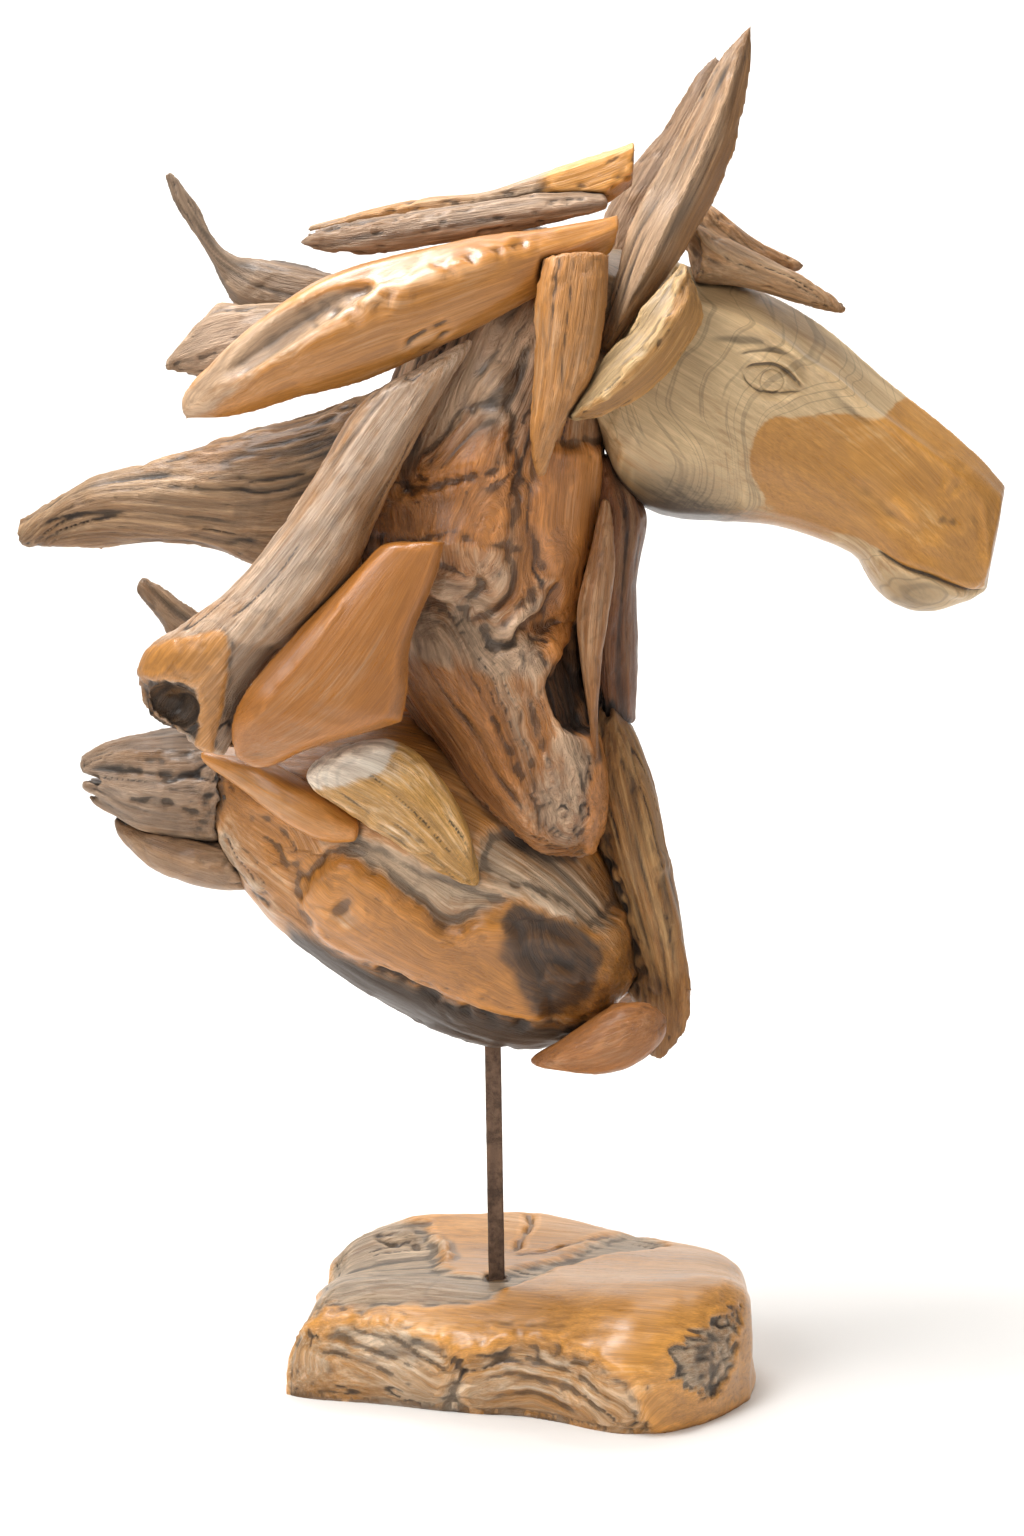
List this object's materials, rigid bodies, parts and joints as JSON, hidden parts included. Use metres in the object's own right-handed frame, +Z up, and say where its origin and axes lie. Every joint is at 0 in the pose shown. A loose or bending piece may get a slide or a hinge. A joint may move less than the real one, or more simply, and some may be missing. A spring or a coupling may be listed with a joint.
{
  "type": "driftwood horse head sculpture",
  "caption": "Horse's head in profile, assembled from shards of oiled and weathered teak driftwood, on a rusted steel bar in a driftwood block.",
  "frame": {"origin": "underside of the block, straight under the foot of the bar", "axes": "+Z up, +X the way the horse looks, +Y towards its left side, so its right cheek faces -Y"},
  "size_m": [0.7119, 0.2924, 0.9933],
  "materials": {
    "rusted_steel": "rusted, matt",
    "oiled_teak": "sanded and oiled, satin to glossy",
    "weathered_teak": "weathered grey-brown, brushed and waxed",
    "dark_teak": "dark gnarled heartwood, glossy on its ridges",
    "pale_teak": "pale sapwood, rough to satin",
    "head_teak": "carved, two-toned, polished"
  },
  "bodies": {
    "root": {"base_block": "oiled_teak", "cheek_piece": "pale_teak", "chest_board": "oiled_teak", "chest_root": "oiled_teak", "chest_wedge": "oiled_teak", "far_cheek_piece": "pale_teak", "far_chest_wedge": "oiled_teak", "far_ear": "weathered_teak", "far_mane_blade": "oiled_teak", "far_mane_sweep": "weathered_teak", "far_neck_board": "oiled_teak", "far_shield": "oiled_teak", "far_wedge": "pale_teak", "forelock": "weathered_teak", "golden_wedge": "pale_teak", "grey_fan": "weathered_teak", "head": "head_teak", "long_shard": "weathered_teak", "lower_crescent": "weathered_teak", "lower_gnarl": "weathered_teak", "lower_slat": "weathered_teak", "mane_blade": "oiled_teak", "mane_sweep": "weathered_teak", "near_ear": "weathered_teak", "neck_stick": "oiled_teak", "neck_trunk": "dark_teak", "shield": "oiled_teak", "small_branch": "weathered_teak", "splinter": "oiled_teak", "support_bar": "rusted_steel", "throat_board": "dark_teak", "top_spike": "weathered_teak", "upper_slat": "oiled_teak", "wing": "oiled_teak"}
  },
  "joints": []
}
